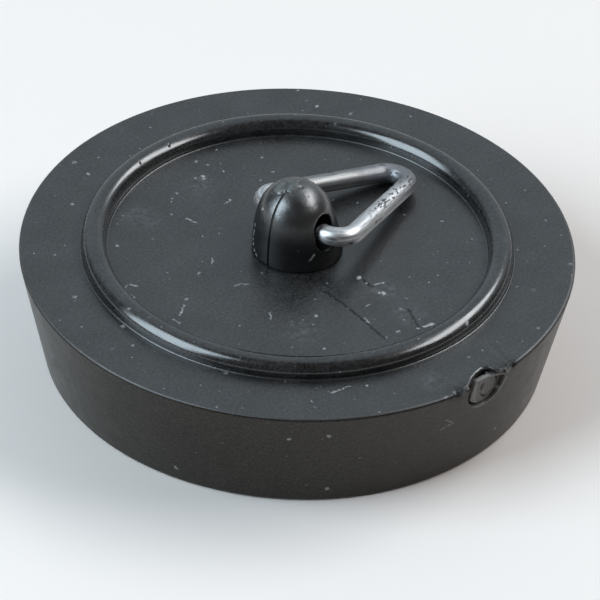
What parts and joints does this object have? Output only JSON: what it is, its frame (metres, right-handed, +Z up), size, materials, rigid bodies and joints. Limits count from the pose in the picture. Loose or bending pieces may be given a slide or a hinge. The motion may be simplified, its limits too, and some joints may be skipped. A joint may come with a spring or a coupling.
{
  "type": "drain_stopper",
  "caption": "Black bath and sink plug: tapered soft moulding with a beaded top, a domed eye stud that swivels in its middle and a bent steel wire pull triangle that swings in the stud's eye",
  "frame": {"origin": "centre of the plug's bottom rim, on the plane that the plug stands on", "axes": "+Z up through the plug and its stud, Y along the stud's cross hole, +X towards the tip of the triangle at rest"},
  "size_m": [0.0458, 0.0458, 0.0164],
  "materials": {
    "plug_rubber": "soft black PVC, satin, moulded",
    "stud_plastic": "hard black plastic, glossy, moulded",
    "wire_steel": "drawn and bent steel wire, scratched"
  },
  "bodies": {
    "plug": {"plug_body": "plug_rubber"},
    "stud": {"eye_stud": "stud_plastic"},
    "triangle": {"pull_triangle": "wire_steel"}
  },
  "joints": [
    {"name": "stud_swivel", "type": "hinge", "parent": "plug", "child": "stud", "pos_m": [0, 0, 0.01], "axis": [0, 0, 1], "continuous": true},
    {"name": "triangle_swing", "type": "hinge", "parent": "stud", "child": "triangle", "pos_m": [0, 0, 0.01263], "axis": [0, -1, 0], "range_deg": [0, 195.2]}
  ]
}
